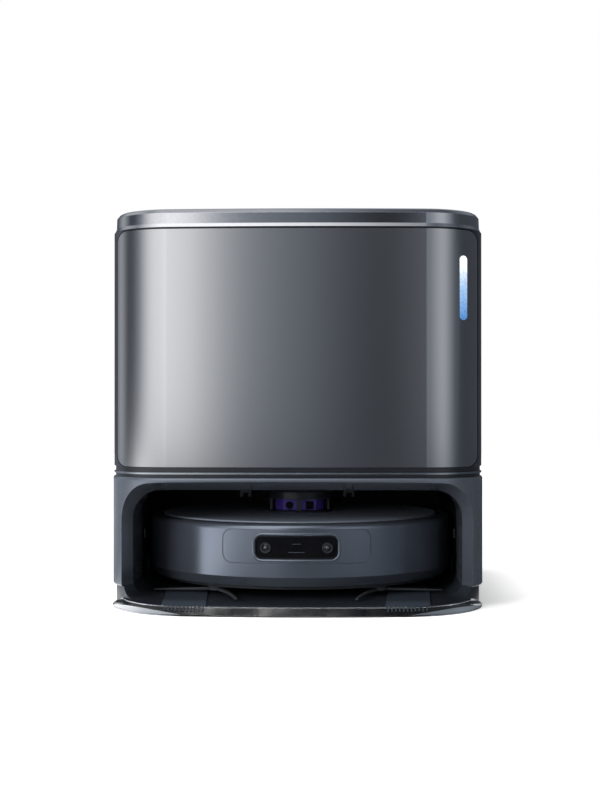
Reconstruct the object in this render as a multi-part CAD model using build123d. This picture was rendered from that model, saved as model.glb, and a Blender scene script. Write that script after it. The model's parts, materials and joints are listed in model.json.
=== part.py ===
from build123d import *
import math
import os

# A round robot vacuum parked in its self-emptying base station.
# Millimetres, +Z up, the front faces -Y, the origin is on the floor below the middle.

# Station: overall
HALF_WIDTH = 202.0
FRONT_Y = -175.0
BACK_Y = 220.0
FRONT_BOW_R = 2000.0
FRONT_CORNER = 70.0
REAR_CORNER = 45.0
WALL = 3.0

# Station: heights
BASE_BOTTOM = 4.0
FLOOR_Z = 9.0
BASE_TOP = 21.5
LOWER_TOP = 139.3
UPPER_BOTTOM = 150.2
UPPER_TOP = 402.8
LID_BOTTOM = 403.4
LID_TOP = 423.0
# Inset from the outer plan and height above the lid's foot: flared foot, upright band, rounded top edge
LID_PROFILE = ((1.8, 0.0), (3.5, 3.8), (3.7, 9.0), (3.9, 15.0), (6.6, 18.4), (8.8, 19.6))
LID_HOLLOW_INSET = 11.0
LID_ROOF = 4.0

# Station: insets of each ring from the outer plan
BASE_INSET = 3.5
TRIM_INSET = 2.6
BEAD_INSET = 1.0
BEAD_Z = (142.7, 144.5)
UPPER_INSET = 1.0
PANEL_THICK = 2.5
PANEL_GAP = 0.4
UPPER_INNER = 6.5
FLANGE_INSET = 9.0
TANK_INSET = 10.0

# Parking bay
BAY_HALF = 178.5
BAY_ROOF = 123.5
BAY_BACK = 195.0
BAY_TOP_R = 30.0
BAY_FOOT_R = 18.0
MOUTH_HALF = 203.0
MOUTH_ROOF = 136.4
MOUTH_TOP_R = 44.0
MOUTH_Y = -180.0
MOUTH_INNER_Y = -120.0
SLATE_DEPTH_Y = -45.0
LINER_WALL = 3.0
DECK_TOP = 136.0

# Front panel and light bar
PANEL_HALF = 194.0
PANEL_TOP = 401.6
PANEL_CORNER = 12.0
LIGHT_X = 177.0
LIGHT_Z = 340.0
LIGHT_SIZE = (8.2, 68.0)

# Openings and pieces in the walls of the upper shell
PARTITION_Y = (4.0, 7.0)
PARTITION_TOP = 390.0
HATCH_SIZE = (250.0, 200.0)
HATCH_Z = 290.0
BACK_COVER_SIZE = (240.0, 220.0)
BACK_COVER_Z = 270.0
SCREW_X = (-108.0, 0.0, 108.0)
SCREW_Z = (172.0, 368.0)
INLET_X = 130.0
INLET_Z = 70.0

# Inside the station
TANK_HALF_GAP = 3.0
TANK_FRONT_Y = 12.0
TANK_WALL = 2.5
TANK_TOP = 388.0
CAP_TOP = 393.0
BAG_X = (-75.0, 75.0)
BAG_Y = (-115.0, -13.0)
BAG_Z = (205.0, 375.0)
BAG_ROUND = 18.0
DUCT_R = 22.0
MOTOR_X = -135.0
MOTOR_Y = -68.0
MOTOR_R = 42.0
MOTOR_Z = (215.0, 235.0)
PUMP_Y = -70.0
PUMP_TOP = 168.0
BOARD_X = (84.0, 184.0)
BOARD_Y = (-4.0, -2.4)
BOARD_Z = (275.0, 375.0)

# Lid hinge
HINGE_Y = 208.8
HINGE_Z = 413.2
HINGE_NOSE_R = 9.8
HINGE_HALF = 165.0
KNUCKLE_R = 13.2
PIN_R = 3.0
RUN_GAP = 0.05

# Tray in front of the station
TRAY_FRONT_Y = -220.0
TRAY_BACK_Y = -105.0
TRAY_HALF = 199.5
TRAY_BOW_R = 1100.0
TRAY_CORNER = 95.0
TRAY_SLOPE = 9.5
TRAY_LIP_Z = 2.0
TRAY_FOOT_Z = 0.3
MAT_INSET = 11.0
MAT_THICK = 2.0
MAT_GAP = 0.15
# Both edges of a wheel ramp at the tray's front and from RAMP_BEND_Y back, where it runs straight
RAMP_FRONT_X = (91.0, 137.0)
RAMP_BACK_X = (101.0, 147.0)
RAMP_BEND_Y = -70.0
RAMP_END_Y = 45.0
RAMP_THICK = 1.0
GRIP_PITCH = 4
GRIP_WIDTH = 1.4
GRIP_HEIGHT = 0.7
GRIP_FOOT_Z = 5.2

# Guide rollers and charging contacts
ROLLER_X = 186.0
ROLLER_Y = 10.0
ROLLER_R = 9.0
ROLLER_Z = (10.6, 41.0)
POCKET_R = 10.2
POCKET_Z = (10.0, 42.0)
AXLE_R = 2.5
CONTACT_Y = (-25.0, 12.0)
CONTACT_Z = (63.0, 73.0)

# Robot: main form
ROBOT_Y = 15.0
ROBOT_R = 175.0
ROBOT_TOP = 90.3
ROBOT_RIM = 6.5
COVER_R = 159.5
COVER_TOP = 91.3
COVER_THICK = 4.0
FLANGE_R = 164.2
CHASSIS_R = 161.5
CHASSIS_Z = (19.0, 22.0)
RING_R = (150.0, 153.0)
RING_TOP = 80.0
SKIRT_INNER_R = 147.0
SIDE_WALL = 3.5
SIDE_FOOT_Z = 33.0
BUMPER_FOOT_Z = 23.0
BUMPER_HALF_DEG = 95.0
SHELL_GAP_DEG = 2.5

# Robot: camera
PLATE_SIZE = (158.0, 35.5)
PLATE_Z = 65.7
RECESS_SIZE = (92.0, 28.0)
WINDOW_SIZE = (86.0, 21.6)
CAMERA_Z = 65.0
LENS_X = 33.3
LENS_R = 5.8

# Robot: lidar
LIDAR_BASE_R = 39.0
LIDAR_CAP_R = 38.5
LIDAR_ROTOR_R = 29.0
LIDAR_Z = (93.3, 106.8, 117.5)
LIDAR_EYE_Z = 99.2

# Robot: running gear
WHEEL_X = 115.0
WHEEL_R = 32.0
WHEEL_Z = 42.3
WHEEL_WIDTH = 22.0
WHEEL_AXLE_R = 4.0
ARM_X = (86.0, 101.0)
PIVOT_Y = -37.0
PIVOT_Z = 36.0
CASTER_Y = -70.0
CASTER_R = 12.0
CASTER_Z = 22.3
CASTER_STEM_R = 4.0
CASTER_AXLE_R = 2.0
SWEEP_X = 88.0
SWEEP_Y = -102.0
SWEEP_R = 72.0
SWEEP_SHAFT_R = 3.0
SWEEP_REST_DEG = -70.0
BRUSH_Y = -20.0
BRUSH_Z = 33.0
BRUSH_HALF = 66.0
BRUSH_CORE_R = 13.0
MOP_X = 66.0
MOP_Y = 100.0
MOP_PAD_R = 62.0
MOP_SHAFT_R = 5.0
BUTTON_X = 13.0
BUTTON_Y = 90.0
BUTTON_R = 6.0


def block(x, y, z):
    """Box given by its low and high limits on each axis."""
    size = [high - low for low, high in (x, y, z)]
    middle = [(high + low) / 2 for low, high in (x, y, z)]
    return Pos(*middle) * Box(*size)


def post(x, y, z, radius):
    """Upright cylinder between two heights."""
    return Pos(x, y, (z[0] + z[1]) / 2) * Cylinder(radius, z[1] - z[0])


def rod(x, y, z, radius):
    """Cylinder along X between two places."""
    return Pos((x[0] + x[1]) / 2, y, z) * Rot(0, 90, 0) * Cylinder(radius, x[1] - x[0])


def mirrored(solid):
    """The solid and its mirror image across the middle plane."""
    return solid + mirror(solid, Plane.YZ)


def front_prism(width, height, corner, x, z, y=(-230.0, 0.0)):
    """Rounded rectangle seen from the front, run through from front to back."""
    outline = RectangleRounded(width, height, corner)
    return extrude(Plane((x, y[1], z), x_dir=(1, 0, 0), z_dir=(0, -1, 0)) * outline, y[1] - y[0])


def bowed_plan(half, front, back, bow, corner):
    """Outline from above: bowed front with round corners, square behind."""
    corner_y = front + bow - math.sqrt(bow**2 - half**2)
    edges = [
        ThreePointArc((-half, corner_y), (0, front), (half, corner_y)),
        Line((half, corner_y), (half, back)),
        Line((half, back), (-half, back)),
        Line((-half, back), (-half, corner_y)),
    ]
    plan = make_face(edges)
    return fillet(plan.vertices().sort_by(Axis.Y)[:2], corner)


def station_plan(inset):
    """Station from above: bowed front, large front corners, smaller rear corners."""
    plan = bowed_plan(
        HALF_WIDTH - inset, FRONT_Y + inset, BACK_Y - inset, FRONT_BOW_R - inset, FRONT_CORNER - inset
    )
    return fillet(plan.vertices().sort_by(Axis.Y)[-2:], REAR_CORNER - inset)


def slab(inset, z0, z1):
    """Full station plan between two heights."""
    return extrude(Pos(0, 0, z0) * station_plan(inset), z1 - z0, dir=(0, 0, 1))


def ring(outer, inner, z0, z1):
    """Wall that follows the station plan."""
    return slab(outer, z0, z1) - slab(inner, z0 - 1, z1 + 1)


def bay_section(half, roof, top_r, y):
    """Bay seen from the front, as a flat face at one depth."""
    height = roof - FLOOR_Z
    outline = Pos(0, FLOOR_Z + height / 2) * Rectangle(2 * half, height)
    by_height = outline.vertices().sort_by(Axis.Y)
    outline = fillet(by_height[:2], BAY_FOOT_R)
    outline = fillet(outline.vertices().sort_by(Axis.Y)[-2:], top_r)
    return Plane((0, y, 0), x_dir=(1, 0, 0), z_dir=(0, -1, 0)) * outline


def bay_space(grow=0.0):
    """Straight tunnel that the robot parks in."""
    section = bay_section(BAY_HALF + grow, BAY_ROOF + grow, BAY_TOP_R + grow, BAY_BACK + grow)
    return extrude(section, BAY_BACK + grow - MOUTH_INNER_Y)


def bay_mouth():
    """Bevelled entry of the bay."""
    outer = bay_section(MOUTH_HALF, MOUTH_ROOF, MOUTH_TOP_R, MOUTH_Y)
    inner = bay_section(BAY_HALF, BAY_ROOF, BAY_TOP_R, MOUTH_INNER_Y)
    return loft([outer.face(), inner.face()], ruled=True)


def roller_pockets():
    return mirrored(post(ROLLER_X, ROLLER_Y, POCKET_Z, POCKET_R))


def base_frame():
    """Floor and low walls of the bay, with the fixed axles of the guide rollers."""
    plate = slab(BASE_INSET, BASE_BOTTOM, FLOOR_Z)
    walls = slab(BASE_INSET, FLOOR_Z, BASE_TOP) - bay_space() - bay_mouth() - roller_pockets()
    axles = mirrored(post(ROLLER_X, ROLLER_Y, (POCKET_Z[0] - 1, POCKET_Z[1] - 1), AXLE_R))
    return Compound(children=[plate, *(walls + axles).solids()])


def rubber_feet():
    places = [(x, y) for x in (-150, 150) for y in (-90, 170)]
    feet = [post(x, y, (0, BASE_BOTTOM), 14) for x, y in places]
    return Compound(children=feet)


def tray_plan(inset, z):
    """Tray from above, run on backwards below the station."""
    plan = bowed_plan(
        TRAY_HALF - inset, TRAY_FRONT_Y + inset, RAMP_END_Y, TRAY_BOW_R - inset, TRAY_CORNER - inset
    )
    return Pos(0, 0, z) * plan


def tray_form():
    """Low plate with a sloped rim."""
    slope = loft([tray_plan(0, TRAY_LIP_Z).face(), tray_plan(TRAY_SLOPE, FLOOR_Z).face()], ruled=True)
    lip = extrude(tray_plan(0, TRAY_FOOT_Z), TRAY_LIP_Z - TRAY_FOOT_Z, dir=(0, 0, 1))
    return slope + lip


def tray_insert(grow=0.0):
    """Dark mat let into the top of the tray, between its clear rim and the base frame."""
    mat = extrude(tray_plan(MAT_INSET - grow, FLOOR_Z - MAT_THICK), MAT_THICK, dir=(0, 0, 1))
    return mat - slab(BASE_INSET - 0.2, 0, 20)


def ramp_tray():
    """Clear tray whose tongue runs under the base frame."""
    behind = block((-210, 210), (TRAY_BACK_Y, RAMP_END_Y + 1), (-1, 12))
    return tray_form() - slab(BASE_INSET, BASE_BOTTOM, 20) - behind - tray_insert(MAT_GAP)


def wheel_ramps():
    """Two dark strips that carry the wheels into the bay, with grip ribs on the tray's rim."""
    outline = make_face(Polyline(
        (RAMP_FRONT_X[0], TRAY_FRONT_Y), (RAMP_FRONT_X[1], TRAY_FRONT_Y), (RAMP_BACK_X[1], RAMP_BEND_Y),
        (RAMP_BACK_X[1], RAMP_END_Y), (RAMP_BACK_X[0], RAMP_END_Y), (RAMP_BACK_X[0], RAMP_BEND_Y), close=True,
    ))
    strip = extrude(Pos(0, 0, FLOOR_Z) * outline, RAMP_THICK, dir=(0, 0, 1))
    strip = strip & extrude(tray_plan(MAT_INSET + 0.5, FLOOR_Z), RAMP_THICK, dir=(0, 0, 1))
    skin = Pos(0, 0, GRIP_HEIGHT) * tray_form() - tray_form()
    for x in range(int(RAMP_FRONT_X[0]) + 3, int(RAMP_FRONT_X[1]), GRIP_PITCH):
        rib_zone = block((x, x + GRIP_WIDTH), (TRAY_FRONT_Y, -190), (GRIP_FOOT_Z, FLOOR_Z + GRIP_HEIGHT))
        strip = strip + (skin & rib_zone)
    return Compound(children=[strip, mirror(strip, Plane.YZ)])


def wash_board():
    """Ribbed board under the mop pads."""
    board = block((-132, 132), (52, 170), (FLOOR_Z, FLOOR_Z + 1))
    ribs = [block((-125, 125), (y, y + 3), (FLOOR_Z + 1, FLOOR_Z + 1.6)) for y in range(58, 166, 9)]
    return board + ribs


def lower_shell():
    """Outer shell round the bay: portal in front, thin walls behind."""
    body = slab(0, BASE_TOP, LOWER_TOP)
    top_edge = body.edges().group_by(Axis.Z)[-1]
    body = fillet(top_edge, 2.4)
    foot_edge = body.edges().group_by(Axis.Z)[0]
    body = fillet(foot_edge, 2.0)
    hollow = slab(WALL, BASE_TOP - 1, DECK_TOP - 2) & block((-210, 210), (SLATE_DEPTH_Y, 230), (0, 200))
    well = slab(FLANGE_INSET, BAY_ROOF + LINER_WALL, LOWER_TOP + 1)
    well = well & block((-210, 210), (MOUTH_INNER_Y, 230), (0, 200))
    body = body - bay_space() - bay_mouth() - hollow - well
    return body - bay_liner() - inlet_body(1) - roller_pockets()


def bay_liner():
    """Black inner walls and roof of the bay, with two small clips under the roof."""
    skin = bay_space(LINER_WALL) - bay_space()
    walls = skin & block((-200, 200), (SLATE_DEPTH_Y, 230), (BASE_TOP, 140))
    roof = skin & block((-BAY_HALF - 4, BAY_HALF + 4), (MOUTH_INNER_Y, SLATE_DEPTH_Y), (BAY_ROOF - 6, 140))
    clip = block((50, 62), (-120, -112), (BAY_ROOF - 7, BAY_ROOF)) - block((53, 59), (-121, -111), (0, BAY_ROOF - 3))
    body = walls + roof + mirrored(clip)
    return body - roller_pockets() - charging_contacts()


def charging_contacts():
    """Sprung metal strips on both side walls."""
    strip = block((BAY_HALF - 1.4, BAY_HALF + 1.6), CONTACT_Y, CONTACT_Z)
    strip = fillet(strip.edges().filter_by(Axis.Z).sort_by(Axis.X)[:2], 1.2)
    return Compound(children=[strip, mirror(strip, Plane.YZ)])


def mid_deck():
    """Plate between the bay and the tanks."""
    plate = slab(FLANGE_INSET + 0.2, BAY_ROOF + LINER_WALL, DECK_TOP)
    return plate & block((-210, 210), (MOUTH_INNER_Y + 0.2, 230), (0, 200))


def groove_trim():
    """Dark recessed bands below the front panel, parted by a thin light bead."""
    band = ring(TRIM_INSET, FLANGE_INSET, LOWER_TOP, UPPER_BOTTOM)
    bead = ring(BEAD_INSET, TRIM_INSET + 1, *BEAD_Z)
    return band + bead


def panel_shape(grow):
    """Front panel seen from the front."""
    width = 2 * (PANEL_HALF + grow)
    height = PANEL_TOP - UPPER_BOTTOM + 2 * grow
    return front_prism(width, height, PANEL_CORNER + grow, 0, (PANEL_TOP + UPPER_BOTTOM) / 2, (-230, -95))


def light_shape(grow):
    width, height = LIGHT_SIZE
    return front_prism(width + 2 * grow, height + 2 * grow, width / 2 + grow - 0.01, LIGHT_X, LIGHT_Z)


def front_panel():
    """Bent metal sheet that wraps the front corners."""
    sheet = ring(UPPER_INSET, UPPER_INSET + PANEL_THICK, UPPER_BOTTOM - 1, PANEL_TOP + 1)
    return (sheet & panel_shape(-0.3)) - light_shape(0.15)


def light_bar():
    """Lit pill let into the panel."""
    sheet = ring(UPPER_INSET - 0.3, UPPER_INSET + PANEL_THICK, UPPER_BOTTOM, PANEL_TOP)
    return sheet & light_shape(0)


def upper_shell():
    """Upright shell with the panel's seat, a front hatch, a partition and the hinge ears."""
    body = ring(UPPER_INSET, UPPER_INNER, UPPER_BOTTOM, UPPER_TOP)
    seat = ring(UPPER_INSET - 2, UPPER_INSET + PANEL_THICK + PANEL_GAP, UPPER_BOTTOM - 1, UPPER_TOP + 1)
    seat = seat & panel_shape(0.6)
    hatch = front_prism(*HATCH_SIZE, 10, 0, HATCH_Z, (-230, -120))
    partition = block((-197, 197), PARTITION_Y, (UPPER_BOTTOM, PARTITION_TOP)) & slab(UPPER_INNER - 0.5, 0, 400)
    knuckle = rod((HINGE_HALF + 1.5, 210), HINGE_Y, HINGE_Z, KNUCKLE_R)
    knuckle = knuckle + block((HINGE_HALF + 1.5, 210), (HINGE_Y, 230), (380, 430))
    ear_form = lid_form() + slab(LID_PROFILE[0][0], UPPER_TOP - 1, LID_BOTTOM)
    ears = mirrored(ear_form & knuckle & block((-210, 210), (0, 230), (380, LID_TOP - 0.3)))
    return body - seat - hatch + partition + ears - cover_blank() - screw_blanks() - lid_hinge_pins()


def lid_hinge_pins():
    pin = rod((152, 175), HINGE_Y, HINGE_Z, PIN_R)
    return Compound(children=[pin, mirror(pin, Plane.YZ)])


def lid_form():
    """Outside of the lid, as a stack of station plans that draw in towards the top."""
    sections = [(Pos(0, 0, LID_BOTTOM + rise) * station_plan(inset)).face() for inset, rise in LID_PROFILE]
    return loft(sections, ruled=True)


def top_lid():
    """Hollow lid with a flared foot and a round nose at the hinge."""
    body = lid_form() - slab(LID_HOLLOW_INSET, LID_BOTTOM - 1, LID_TOP - LID_ROOF)
    body = body - block((-210, 210), (HINGE_Y - 14, 230), (400, 430))
    nose = rod((-HINGE_HALF, HINGE_HALF), HINGE_Y, HINGE_Z, HINGE_NOSE_R)
    bridge = block((-HINGE_HALF, HINGE_HALF), (HINGE_Y - 18, HINGE_Y), (LID_TOP - 6, LID_TOP))
    bores = mirrored(rod((151, 180), HINGE_Y, HINGE_Z, PIN_R + RUN_GAP))
    return body + nose + bridge - bores


def cover_blank():
    return front_prism(*BACK_COVER_SIZE, 12, 0, BACK_COVER_Z, (BACK_Y - 3.5, BACK_Y - UPPER_INSET))


def back_cover():
    """Service cover let into the rear wall."""
    return cover_blank() - screw_blanks()


def screw_places():
    return [(x, z) for x in SCREW_X for z in SCREW_Z]


def screw_blanks():
    """Screws before their slots are cut, which are also the seats in what they hold."""
    blanks = []
    for x, z in screw_places():
        head = Pos(x, BACK_Y - 1.4, z) * Rot(90, 0, 0) * Cylinder(4, 1.2)
        shank = Pos(x, BACK_Y - 4.5, z) * Rot(90, 0, 0) * Cylinder(1.5, 6)
        blanks.append(head + shank)
    return blanks


def cover_screws():
    """Slotted screws that hold the back cover."""
    slots = [Pos(x, BACK_Y - 0.9, z) * Box(5.4, 1, 1) for x, z in screw_places()]
    return Compound(children=[blank - slot for blank, slot in zip(screw_blanks(), slots)])


def inlet_body(out=-0.2):
    return front_prism(32, 25, 4, INLET_X, INLET_Z, (BACK_Y - 22, BACK_Y + out))


def mains_inlet():
    """Socket for a mains lead with three blades."""
    cavity = front_prism(25, 17, 3, INLET_X, INLET_Z, (BACK_Y - 18, BACK_Y + 1))
    body = inlet_body() - cavity
    for x, z in ((INLET_X - 7, INLET_Z - 3.5), (INLET_X + 7, INLET_Z - 3.5), (INLET_X, INLET_Z)):
        body = body + block((x - 1, x + 1), (BACK_Y - 18.5, BACK_Y - 8), (z - 2, z + 2))
    return body


def tank_form(side, inset, z):
    """Half of the rear compartment, following the shell."""
    half = block((TANK_HALF_GAP + inset, 210), (TANK_FRONT_Y + inset, 230), (100, 420))
    form = slab(TANK_INSET + inset, z[0], z[1]) & half
    return form if side > 0 else mirror(form, Plane.YZ)


def water_tank(side):
    """Open-topped tank."""
    return tank_form(side, 0, (DECK_TOP, TANK_TOP)) - tank_form(side, TANK_WALL, (DECK_TOP + 3, 400))


def tank_caps():
    """Lids of both tanks, each with a low grip bar."""
    caps = []
    for side in (-1, 1):
        cap = tank_form(side, 0, (TANK_TOP, CAP_TOP))
        grip = block((side * 100 - 45, side * 100 + 45), (100, 116), (CAP_TOP, CAP_TOP + 8))
        cap = cap + fillet(grip.edges().filter_by(Axis.X).group_by(Axis.Z)[-1], 5)
        caps.append(cap)
    return Compound(children=caps)


def dust_bag():
    """Soft bag, as a plain rounded solid."""
    return fillet(block(BAG_X, BAG_Y, BAG_Z).edges(), BAG_ROUND)


def dust_bag_collar():
    """Card that holds the bag to its duct on the partition."""
    card = block((-62, 62), (-12, PARTITION_Y[0]), (225, 355))
    duct = Pos(0, -4, HATCH_Z) * Rot(90, 0, 0) * Cylinder(DUCT_R, 20)
    return card - duct


def suction_motor():
    """Suction motor with a smaller head and an inlet pipe towards the bag."""
    low, high = MOTOR_Z
    body = post(MOTOR_X, MOTOR_Y, (DECK_TOP, low), MOTOR_R) + post(MOTOR_X, MOTOR_Y, (low, high), MOTOR_R - 12)
    return body + rod((MOTOR_X + 17, MOTOR_X + 47), MOTOR_Y, (low + high) / 2, 9)


def water_pump():
    """Pump block with a spout on its side and a round head."""
    body = block((-20, 44), (PUMP_Y - 26, PUMP_Y + 26), (DECK_TOP, PUMP_TOP))
    return body + rod((44, 60), PUMP_Y, PUMP_TOP - 16, 8) + post(0, PUMP_Y, (PUMP_TOP, PUMP_TOP + 18), 14)


def control_board():
    """Board on four stand-offs in front of the partition."""
    board = block(BOARD_X, BOARD_Y, BOARD_Z)
    for x in (BOARD_X[0] + 8, BOARD_X[1] - 8):
        for z in (BOARD_Z[0] + 8, BOARD_Z[1] - 8):
            board = board + Pos(x, 0.8, z) * Rot(90, 0, 0) * Cylinder(3, 6.4)
    for x, z in ((110, 300), (145, 330), (160, 355)):
        board = board + block((x, x + 18), (BOARD_Y[0] - 8, BOARD_Y[0]), (z, z + 14))
    return board


def guide_roller(side):
    """Barrel-shaped roller that centres the robot in the bay."""
    low, high = ROLLER_Z
    middle = (low + high) / 2
    edge = ROLLER_R - 1.8
    profile = [
        ThreePointArc((edge, low), (ROLLER_R, middle), (edge, high)),
        Line((edge, high), (AXLE_R + RUN_GAP, high)),
        Line((AXLE_R + RUN_GAP, high), (AXLE_R + RUN_GAP, low)),
        Line((AXLE_R + RUN_GAP, low), (edge, low)),
    ]
    barrel = revolve(Plane.XZ * make_face(profile), Axis.Z, 360)
    return Pos(side * ROLLER_X, ROLLER_Y, 0) * barrel


def about_robot(solid, turn=0.0):
    """Place a solid made round the robot's axis."""
    return Pos(0, ROBOT_Y, 0) * Rot(0, 0, turn) * solid


def disc(radius, z0, z1):
    return post(0, ROBOT_Y, (z0, z1), radius)


def tube(outer, inner, z0, z1):
    return disc(outer, z0, z1) - disc(inner, z0 - 1, z1 + 1)


def wall_outline(foot):
    """Section of the robot's side wall: foot points first, then up the outside."""
    outside = [(ROBOT_R, SIDE_FOOT_Z), (ROBOT_R, ROBOT_TOP), (FLANGE_R, ROBOT_TOP), (FLANGE_R, ROBOT_TOP - 3)]
    inside = [(ROBOT_R - SIDE_WALL, ROBOT_TOP - 3), (ROBOT_R - SIDE_WALL, SIDE_FOOT_Z + 2)]
    outline = make_face(Polyline(*foot, *outside, *inside, close=True))
    rim = outline.vertices().group_by(Axis.Y)[-1].sort_by(Axis.X)[-1]
    return Plane.XZ * fillet(rim, ROBOT_RIM)


def wall_sector(foot, start, arc):
    return about_robot(revolve(wall_outline(foot), Axis.Z, arc), start)


def camera_prism(size, corner, z, grow=0.0):
    return front_prism(size[0] + 2 * grow, size[1] + 2 * grow, corner + grow, 0, z, (-230, -100))


def bumper():
    """Sprung front wall of the robot, open for the camera and recessed for its plate."""
    foot = [(ROBOT_R - 8.6, BUMPER_FOOT_Z), (ROBOT_R - 5.5, BUMPER_FOOT_Z)]
    wall = wall_sector(foot, 270 - BUMPER_HALF_DEG, 2 * BUMPER_HALF_DEG)
    seat = tube(ROBOT_R + 5, ROBOT_R - 1.6, 30, 90) & camera_prism(PLATE_SIZE, 10, PLATE_Z, 0.5)
    return wall - seat - camera_prism(RECESS_SIZE, 9, CAMERA_Z)


def camera_plate():
    """Thin curved plate round the camera, flush with the bumper."""
    sheet = tube(ROBOT_R, ROBOT_R - 1.6, 30, 90)
    return (sheet & camera_prism(PLATE_SIZE, 10, PLATE_Z)) - camera_prism(RECESS_SIZE, 9, CAMERA_Z)


def camera_frame():
    """Body of the camera, with a bezel that stands inside the bumper's opening."""
    body = tube(ROBOT_R - 1.5, RING_R[1], 30, 90) & camera_prism(RECESS_SIZE, 8, CAMERA_Z, -0.7)
    pocket = tube(ROBOT_R, ROBOT_R - 5, 30, 90) & camera_prism(WINDOW_SIZE, 6, CAMERA_Z)
    return body - pocket


def camera_window():
    sheet = tube(ROBOT_R - 3, ROBOT_R - 5, 30, 90)
    return (sheet & camera_prism(WINDOW_SIZE, 6, CAMERA_Z)) - camera_lenses()


def camera_lenses():
    """Two domed lenses let into the window."""
    lenses = []
    for side in (-1, 1):
        turn = math.degrees(math.asin(side * LENS_X / ROBOT_R))
        barrel = Cylinder(LENS_R, 3)
        barrel = fillet(barrel.edges().group_by(Axis.Z)[-1], 1.2)
        lens = Pos(0, -(ROBOT_R - 3.2), CAMERA_Z - 0.7) * Rot(90, 0, 0) * barrel
        lenses.append(about_robot(lens, turn))
    return Compound(children=lenses)


def rear_shell():
    """Fixed rear wall of the robot, with outlet slots for the fan."""
    foot = [(ROBOT_R - 8.5, 25), (154, 25), (154, CHASSIS_Z[1]), (ROBOT_R - 6, CHASSIS_Z[1])]
    half = 180 - BUMPER_HALF_DEG - SHELL_GAP_DEG
    wall = wall_sector(foot, 90 - half, 2 * half)
    slot = Pos(0, ROBOT_R, 62) * Box(3.2, 20, 22)
    slots = [about_robot(slot, angle) for angle in range(-22, 23, 4)]
    return wall - slots


def robot_chassis():
    """Floor pan with its inner ring, brackets, bosses and openings."""
    low, top = CHASSIS_Z
    pan = disc(CHASSIS_R, low, top)
    wall = tube(RING_R[1], RING_R[0], top, RING_TOP)
    pan = pan + post(0, CASTER_Y, (top, 44), 23) + mirrored(post(MOP_X, MOP_Y, (top, 36), 14))
    pan = pan + mirrored(post(SWEEP_X - 3, SWEEP_Y + 4, (top, 38), 10))
    for x in ((82, 85.5), (101.5, 105)):
        pan = pan + mirrored(block(x, (PIVOT_Y - 9, PIVOT_Y + 9), (top, PIVOT_Z + 10)))
    pan = pan + mirrored(block((69.5, 74), (BRUSH_Y - 9, BRUSH_Y + 9), (top, BRUSH_Z + 9)))
    wells = mirrored(block((101, 129), (ROBOT_Y - 30, ROBOT_Y + 30), (0, top + 1)))
    brush_slot = block((-69, 69), (BRUSH_Y - 22, BRUSH_Y + 22), (0, top + 1))
    caster_cup = post(0, CASTER_Y, (0, 40), 19.5) + post(0, CASTER_Y, (30, 50), CASTER_STEM_R + RUN_GAP)
    shafts = mirrored(post(MOP_X, MOP_Y, (0, 34), MOP_SHAFT_R + RUN_GAP))
    shafts = shafts + mirrored(post(SWEEP_X, SWEEP_Y, (0, 35), SWEEP_SHAFT_R + RUN_GAP))
    pins = mirrored(rod((80, 106), PIVOT_Y, PIVOT_Z, PIN_R + RUN_GAP))
    pins = pins + mirrored(rod((69, 75), BRUSH_Y, BRUSH_Z, PIN_R + RUN_GAP))
    pan = pan - wall - wells - brush_slot - caster_cup - shafts - pins
    return Compound(children=[*pan.solids(), wall])


def top_cover():
    """Flat cover of the robot, open for the lidar and the buttons."""
    plate = disc(COVER_R, COVER_TOP - COVER_THICK, COVER_TOP)
    plate = fillet(plate.edges().group_by(Axis.Z)[-1], 1.4)
    skirt = tube(COVER_R, SKIRT_INNER_R, RING_TOP, COVER_TOP - COVER_THICK)
    holes = disc(12, 80, 100) + mirrored(post(BUTTON_X, BUTTON_Y, (80, 100), BUTTON_R + 0.4))
    return Compound(children=[plate - holes, skirt])


def lidar_turret():
    """Base, four struts and cap round the spinning lidar."""
    low, cap_z, top = LIDAR_Z
    base = disc(LIDAR_BASE_R, COVER_TOP, low)
    base = chamfer(base.edges().group_by(Axis.Z)[-1], 1.4)
    cap = disc(LIDAR_CAP_R, cap_z, top)
    cap = fillet(cap.edges().group_by(Axis.Z)[-1], 3)
    front_strut = block((-2.8, 2.8), (ROBOT_Y - 35, ROBOT_Y - 32), (low - 0.1, cap_z + 0.1))
    back_strut = mirror(front_strut, Plane.XZ.offset(-ROBOT_Y))
    side_strut = mirrored(block((32, 35), (ROBOT_Y - 4, ROBOT_Y + 4), (low - 0.1, cap_z + 0.1)))
    return base + cap + front_strut + back_strut + side_strut - disc(4 + RUN_GAP, COVER_TOP - 1, low + 1)


def lidar_eyes():
    """Round emitter and square receiver on the flat of the rotor."""
    front = ROBOT_Y - 22
    lens = Pos(-11.5, front, LIDAR_EYE_Z) * Rot(90, 0, 0) * Cylinder(4.4, 1.6)
    receiver = block((7.6, 16.6), (front - 0.8, front + 0.8), (LIDAR_EYE_Z - 4.5, LIDAR_EYE_Z + 4.5))
    return Compound(children=[lens, receiver])


def lidar_rotor():
    drum = disc(LIDAR_ROTOR_R, LIDAR_Z[0] + 0.5, LIDAR_Z[1] - 0.5) + disc(4, COVER_TOP - 3.3, LIDAR_Z[0] + 1)
    flat = block((-40, 40), (ROBOT_Y - 40, ROBOT_Y - 22), (LIDAR_Z[0], LIDAR_Z[1]))
    return drum - flat - lidar_eyes()


def top_button(side):
    """Round button with a shallow dished top."""
    button = post(side * BUTTON_X, BUTTON_Y, (COVER_TOP - 4.5, COVER_TOP + 0.7), BUTTON_R)
    button = fillet(button.edges().group_by(Axis.Z)[-1], 0.6)
    return button - Pos(side * BUTTON_X, BUTTON_Y, COVER_TOP + 30.3) * Sphere(30)


def battery():
    return fillet(block((-58, 58), (117, 146), (CHASSIS_Z[1], 58)).edges().filter_by(Axis.X), 6)


def dust_bin():
    body = block((-58, 58), (8, 80), (CHASSIS_Z[1], 80))
    return fillet(body.edges().filter_by(Axis.Z), 8)


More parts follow.
